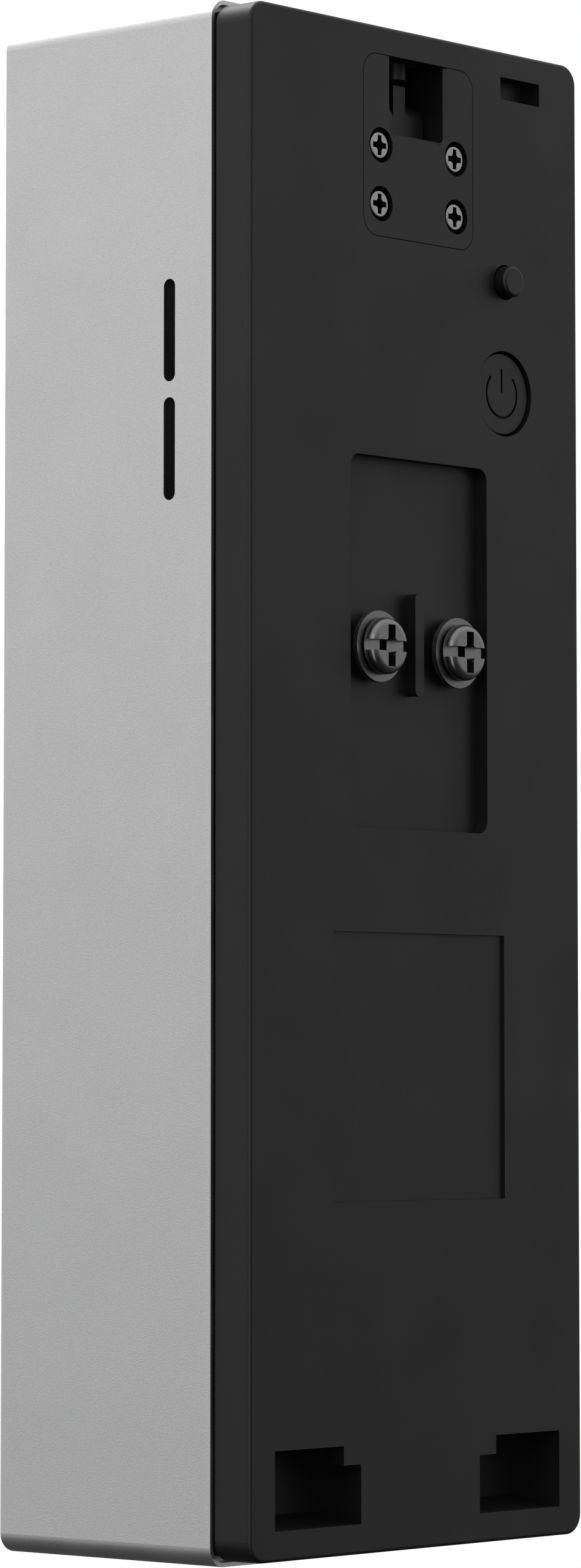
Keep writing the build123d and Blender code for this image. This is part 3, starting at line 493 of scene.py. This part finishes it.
def paired_wires():
    """Red insulation on the wire at the higher X, black on the other."""
    low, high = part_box("battery_lead")
    material, shader, place = finish_of("silicone_wires", (0.4, 0.02, 0.02), 0.45)
    tree = material.node_tree
    apart = tree.nodes.new("ShaderNodeSeparateXYZ")
    tree.links.new(place.outputs["Object"], apart.inputs["Vector"])
    side = tree.nodes.new("ShaderNodeMath")
    side.operation = "GREATER_THAN"
    side.inputs[1].default_value = (low.x + high.x) / 2
    tree.links.new(apart.outputs["X"], side.inputs[0])
    two_tone(material, side.outputs[0], (0.015, 0.015, 0.015), (0.42, 0.02, 0.02),
             shader.inputs["Base Color"])
    skin = grain_in(material, place, 0.4 * mm)
    press_into(material, shader, skin.outputs["Fac"], 0.01 * mm, strength=0.3)
    return material


dress(shrink_film(), "battery_pack")
dress(paired_wires(), "battery_lead")
dress(moulded_plastic("plug_nylon", (0.72, 0.7, 0.64), 0.4, texture=0.4 * mm), "battery_plug")


# --- Chassis ----------------------------------------------------------------------------------
# The chassis is the tray that everything inside is screwed to: a wall all round and a floor that
# parts the front bay from the rear. Six steel screws pull it onto the posts of the back.

chassis_plastic = moulded_plastic("chassis_nylon", (0.03, 0.03, 0.031), 0.55, texture=0.5 * mm)
dress(chassis_plastic, "chassis")
dress(screw_steel, "chassis_screws")


# --- Main board -------------------------------------------------------------------------------
# The main board carries the processor under a tinned shield can, the chime switch, a microphone
# and a ring of lights. Four screws hold it to the chassis.

dress(board_green, "main_board")
dress(screw_steel, "main_board_screws")
dress(tinned_sheet, "shield_can")
dress(tinned_sheet, "microphone")
dress(seal_rubber, "mic_boot")


def clear_resin(name, colour, roughness=0.1):
    """Cast epoxy of a light-emitting diode."""
    material, shader, place = finish_of(name, colour, roughness)
    shader.inputs["Transmission Weight"].default_value = 0.7
    shader.inputs["IOR"].default_value = 1.5
    haze = grain_in(material, place, 0.8 * mm)
    spread(material, haze.outputs["Fac"], roughness, roughness + 0.15, shader.inputs["Roughness"])
    return material


dress(clear_resin("pale_led_resin", (0.9, 0.86, 0.62)), "board_leds")

# Memory, power and audio circuits, their capacitors, two coils and the ribbon's connector
main_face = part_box("main_board")[0].y
chip("memory_circuit", 12 * mm, main_face, -4 * mm, 8 * mm, 7 * mm, 8)
chip("power_circuit", -10 * mm, main_face, -21 * mm, 4 * mm, 5 * mm, 5)
chip("audio_circuit", 9 * mm, main_face, -21 * mm, 4 * mm, 4.4 * mm, 4)
for n in range(10):
    chip_capacitor(f"upper_capacitor_{n + 1}", (-16 + 2.6 * n) * mm, main_face, 12.5 * mm)
for n in range(9):
    chip_capacitor(f"lower_capacitor_{n + 1}", (-16 + 4 * n) * mm, main_face, -30 * mm)
coil_z = -14.5 * mm
for name, x in (("buck_coil", -15 * mm), ("boost_coil", 15 * mm)):
    base = brick((5 * mm, 1.2 * mm, 5 * mm), (x, main_face - 0.6 * mm, coil_z), chip_epoxy, 0.3 * mm)
    core = can(4.4 * mm, 1.6 * mm, (x, main_face - 2 * mm, coil_z), chip_epoxy, axis="Y")
    fit(name, [base, core])
fit("ribbon_connector", [
    brick((10 * mm, 1.0 * mm, 1.6 * mm), (0, main_face - 0.5 * mm, 32.1 * mm), fired_ceramic),
    brick((8.6 * mm, 0.4 * mm, 0.8 * mm), (0, main_face - 1.2 * mm, 32.1 * mm), chip_epoxy),
])


# --- Camera -----------------------------------------------------------------------------------
# The camera stands on its own small board behind a smoked window: a sensor, a holder, a black
# anodised barrel with a coated lens, and a ring of infrared lights round a soft baffle.

def smoked_glass():
    material, shader, place = finish_of("smoked_glass", (0.16, 0.16, 0.17), 0.03)
    shader.inputs["Transmission Weight"].default_value = 1.0
    shader.inputs["IOR"].default_value = 1.5
    wave = grain_in(material, place, 6 * mm)
    spread(material, wave.outputs["Fac"], 0.02, 0.05, shader.inputs["Roughness"])
    return material


def coated_lens():
    """Glass whose coating turns from violet in the middle to green at the rim."""
    material, shader, place = finish_of("coated_lens", (0.05, 0.04, 0.08), 0.04)
    tree = material.node_tree
    shader.inputs["Coat Weight"].default_value = 1.0
    shader.inputs["Coat Roughness"].default_value = 0.02
    slope = tree.nodes.new("ShaderNodeLayerWeight")
    slope.inputs["Blend"].default_value = 0.35
    two_tone(material, slope.outputs["Facing"], (0.05, 0.02, 0.11), (0.02, 0.09, 0.06),
             shader.inputs["Base Color"], ends=(0.05, 0.5))
    dust = grain_in(material, place, 0.5 * mm)
    spread(material, dust.outputs["Fac"], 0.03, 0.08, shader.inputs["Roughness"])
    return material


def amber_film():
    """Polyimide ribbon with copper lines along it."""
    material, shader, place = finish_of("amber_film", (0.42, 0.17, 0.03), 0.3)
    tree = material.node_tree
    lines = tree.nodes.new("ShaderNodeTexWave")
    lines.bands_direction = "X"
    lines.inputs["Scale"].default_value = 0.32 / (0.5 * mm)
    tree.links.new(place.outputs["Object"], lines.inputs["Vector"])
    two_tone(material, lines.outputs["Fac"], (0.3, 0.1, 0.02), (0.62, 0.3, 0.08),
             shader.inputs["Base Color"], ends=(0.4, 0.6))
    press_into(material, shader, lines.outputs["Fac"], 0.02 * mm, strength=0.4)
    return material


camera_centre = sum(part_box("lens_barrel"), Vector()) / 2
dress(board_green, "camera_board", "ir_board")
dress(clear_resin("sensor_glass", (0.05, 0.03, 0.08), 0.05), "image_sensor")
dress(chassis_plastic, "lens_holder")
dress(turned_metal("black_anodised_barrel", (0.05, 0.05, 0.052), 0.38, camera_centre, 0.3 * mm),
      "lens_barrel")
dress(coated_lens(), "lens_element")
dress(soft_rubber("baffle_foam", (0.01, 0.01, 0.01), 0.9), "lens_baffle")
dress(clear_resin("infrared_led_resin", (0.16, 0.1, 0.2), 0.08), "ir_leds")
dress(smoked_glass(), "camera_window")
copper_on_amber = amber_film()
dress(copper_on_amber, "camera_flex")
dress(turned_metal("satin_black_bezel", (0.06, 0.06, 0.062), 0.4, camera_centre, 0.25 * mm),
      "camera_bezel")


# --- Motion sensor ----------------------------------------------------------------------------
# A heat sensor in a tinned can looks out through a domed lens of milky polyethylene. The lens is
# moulded with rings of fine facets on its inner side, which show through it.

def milky_lens(name, centre, facet=1.3 * mm):
    material, shader, place = finish_of(name, (0.78, 0.78, 0.75), 0.35)
    tree = material.node_tree
    shader.inputs["Subsurface Weight"].default_value = 0.3
    shader.inputs["Subsurface Scale"].default_value = 1 * mm
    centred = tree.nodes.new("ShaderNodeMapping")
    centred.inputs["Location"].default_value = -Vector(centre)
    tree.links.new(place.outputs["Object"], centred.inputs["Vector"])
    rings = tree.nodes.new("ShaderNodeTexWave")
    rings.wave_type = "RINGS"
    rings.rings_direction = "Y"
    rings.inputs["Scale"].default_value = 0.32 / facet
    tree.links.new(centred.outputs["Vector"], rings.inputs["Vector"])
    two_tone(material, rings.outputs["Fac"], (0.66, 0.66, 0.64), (0.82, 0.82, 0.79),
             shader.inputs["Base Color"])
    press_into(material, shader, rings.outputs["Fac"], 0.05 * mm, strength=0.3)
    return material


dress(tinned_sheet, "pir_sensor")
sensor_low, sensor_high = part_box("pir_sensor")
pane_at = ((sensor_low.x + sensor_high.x) / 2, sensor_low.y + 0.15 * mm,
           (sensor_low.z + sensor_high.z) / 2)
silicon = clear_resin("silicon_pane", (0.1, 0.09, 0.12), 0.08)
pane = brick((3.9 * mm, 0.24 * mm, 2.9 * mm), pane_at, silicon, 0.05 * mm)
fit("sensor_pane", [pane])
dress(milky_lens("milky_polyethylene", sum(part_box("pir_lens"), Vector()) / 2), "pir_lens")


# --- Status light and aerial ------------------------------------------------------------------
# A clear pipe brings one light to the front, and a flat aerial of copper on amber film is stuck
# inside the top of the front panel.

pipe_centre = sum(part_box("status_light_pipe"), Vector()) / 2
dress(milky_lens("frosted_pipe", pipe_centre, 0.6 * mm), "status_light_pipe")
dress(copper_on_amber, "antenna")


# --- Chime button -----------------------------------------------------------------------------
# The big round button is a hard-coated black cap. It slides in a guide on a coil spring and
# presses a sealed switch, inside a frosted ring that the board's lights shine through.

def lacquered_black(name, colour=(0.008, 0.008, 0.009)):
    """Polished black plastic under hard lacquer, with a trace of flow in its surface."""
    material, shader, place = finish_of(name, colour, 0.16)
    shader.inputs["Coat Weight"].default_value = 0.6
    shader.inputs["Coat Roughness"].default_value = 0.06
    flow = grain_in(material, place, 18 * mm)
    fine = grain_in(material, place, 0.5 * mm, detail=4.0)
    spread(material, fine.outputs["Fac"], 0.13, 0.2, shader.inputs["Roughness"])
    press_into(material, shader, flow.outputs["Fac"], 0.03 * mm, strength=0.15)
    return material


chime_centre = sum(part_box("chime_button"), Vector()) / 2
dress(lacquered_black("button_lacquer", (0.012, 0.012, 0.013)), "chime_button")
dress(milky_lens("frosted_light_ring", chime_centre, 0.8 * mm), "button_light_ring")
dress(chassis_plastic, "button_guide")

# The cap goes in 0.6 mm onto its spring.
squeeze("button_spring")
dress(switch_plastic, "chime_switch")
dress(button_plastic, "chime_switch_plunger")


# --- Front panel and seals --------------------------------------------------------------------
# The front is a flat moulding in polished black, pressed into the sleeve against a silicone
# seal. A second seal lies between the sleeve and the back.

dress(lacquered_black("front_lacquer"), "front_panel")
dress(seal_rubber, "front_seal", "rear_seal")


# --- Studio -----------------------------------------------------------------------------------
# The doorbell hangs in a white studio, over a pale floor, in soft light that is strongest from
# above. The camera looks at its back and its slotted side from a little below.

floor_drop = 0.24
bpy.ops.object.select_all(action="DESELECT")
bpy.ops.mesh.primitive_circle_add(vertices=96, radius=2.2, fill_type="NGON",
                                  location=(0, 0, cad_low.z - floor_drop))
floor = bpy.context.object
floor.name = "studio_floor"
floor.visible_glossy = False
floor.visible_diffuse = False
pale, pale_shader, pale_place = finish_of("pale_floor", (0.86, 0.86, 0.86), 0.8)
pale_cloud = grain_in(pale, pale_place, 0.2)
spread(pale, pale_cloud.outputs["Fac"], 0.75, 0.85, pale_shader.inputs["Roughness"])
floor.data.materials.append(pale)
floor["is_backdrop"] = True

studio = bpy.data.worlds.new("studio")
studio.use_nodes = True
bpy.context.scene.world = studio
air = studio.node_tree
backdrop = air.nodes["Background"]
backdrop.inputs["Color"].default_value = (1, 1, 1, 1)
backdrop.inputs["Strength"].default_value = 1.0
room = air.nodes.new("ShaderNodeBackground")
direction = air.nodes.new("ShaderNodeTexCoord")
apart = air.nodes.new("ShaderNodeSeparateXYZ")
air.links.new(direction.outputs["Generated"], apart.inputs["Vector"])


def fade(axis, levels):
    """Grey of the room along one axis: (direction from -1 to 1, grey) pairs."""
    whole = air.nodes.new("ShaderNodeMapRange")
    whole.inputs["From Min"].default_value = -1
    air.links.new(apart.outputs[axis], whole.inputs["Value"])
    shade = air.nodes.new("ShaderNodeValToRGB")
    stops = shade.color_ramp.elements
    for _ in levels[2:]:
        stops.new(0.5)
    for stop, (level, grey) in zip(stops, levels):
        stop.position = (level + 1) / 2
        stop.color = (grey, grey, grey, 1)
    air.links.new(whole.outputs["Result"], shade.inputs["Fac"])
    return shade.outputs["Color"]


by_height = fade("Z", ((-1, 0.02), (-0.3, 0.1), (-0.08, 0.56), (0.1, 0.7), (0.4, 0.8), (1, 1)))
by_side = fade("Y", ((-1, 1), (0.1, 1), (0.55, 0.9), (0.75, 0.75), (1, 0.3)))
both = air.nodes.new("ShaderNodeVectorMath")
both.operation = "MULTIPLY"
air.links.new(by_height, both.inputs[0])
air.links.new(by_side, both.inputs[1])
air.links.new(both.outputs["Vector"], room.inputs["Color"])
rays = air.nodes.new("ShaderNodeLightPath")
chosen = air.nodes.new("ShaderNodeMixShader")
air.links.new(rays.outputs["Is Camera Ray"], chosen.inputs["Fac"])
air.links.new(room.outputs["Background"], chosen.inputs[1])
air.links.new(backdrop.outputs["Background"], chosen.inputs[2])
air.links.new(chosen.outputs["Shader"], air.nodes["World Output"].inputs["Surface"])


def soft_light(name, place, aim, width, height, watts):
    """Rectangular studio light at place, turned towards aim."""
    data = bpy.data.lights.new(name, "AREA")
    data.shape = "RECTANGLE"
    data.size, data.size_y, data.energy = width, height, watts
    light = bpy.data.objects.new(name, data)
    bpy.context.scene.collection.objects.link(light)
    light.location = place
    light.rotation_euler = (Vector(aim) - Vector(place)).to_track_quat("-Z", "Y").to_euler()


middle = (cad_low + cad_high) / 2
soft_light("overhead", (0.05, -0.35, 0.75), middle, 0.5, 0.4, 5)
soft_light("front_fill", (-0.3, -0.9, 0.35), middle, 0.6, 0.8, 4)
soft_light("tall_strip", (0.75, 0.55, -0.1), middle, 0.4, 1.8, 2.2)

# The camera stands level, 0.59 m from the doorbell, with its lens raised and turned onto the back.
turn, rise = math.radians(48.4355), math.radians(4.4644)
camera_data = bpy.data.cameras.new("camera")
camera_data.sensor_fit = "VERTICAL"
camera_data.sensor_height = 36
camera_data.sensor_width = 36
camera_data.lens = 128.8
camera_data.shift_x = 0.00358
camera_data.shift_y = -0.0909
camera_data.clip_start = 0.01
camera = bpy.data.objects.new("camera", camera_data)
bpy.context.scene.collection.objects.link(camera)
camera.location = (0.45241, 0.38210, -0.03120)
ahead = Vector((-math.sin(turn) * math.cos(rise), -math.cos(turn) * math.cos(rise), math.sin(rise)))
camera.rotation_euler = ahead.to_track_quat("-Z", "Y").to_euler()
bpy.context.scene.camera = camera
bpy.context.scene.view_settings.view_transform = "Standard"

bpy.context.view_layer.update()
low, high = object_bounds()
